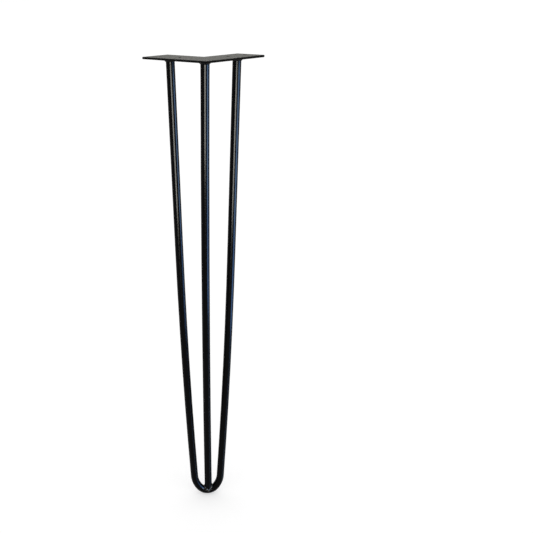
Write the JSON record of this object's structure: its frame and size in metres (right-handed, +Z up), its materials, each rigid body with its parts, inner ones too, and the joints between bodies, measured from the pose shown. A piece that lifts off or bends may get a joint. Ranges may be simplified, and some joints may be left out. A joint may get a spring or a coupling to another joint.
{
  "type": "hairpin table leg",
  "caption": "Slender steel table leg: bent round rod in a narrow V, with a straight brace rod between, welded under a flat L-shaped screw plate.",
  "frame": {"origin": "on the plate's top face, where the centre lines of its two arms cross, over the centre rod", "axes": "+Z up, out of the plate's top face; +Y along the L's diagonal from its outer corner to its inner corner; +X to the right, along the line between the outer rods"},
  "size_m": [0.1646, 0.1158, 0.711],
  "materials": {
    "powder_coat": "satin"
  },
  "bodies": {
    "root": {"mounting_plate": "powder_coat", "hairpin_rod": "powder_coat", "centre_rod": "powder_coat", "outer_rod_welds": "powder_coat", "centre_rod_welds": "powder_coat"}
  },
  "joints": []
}
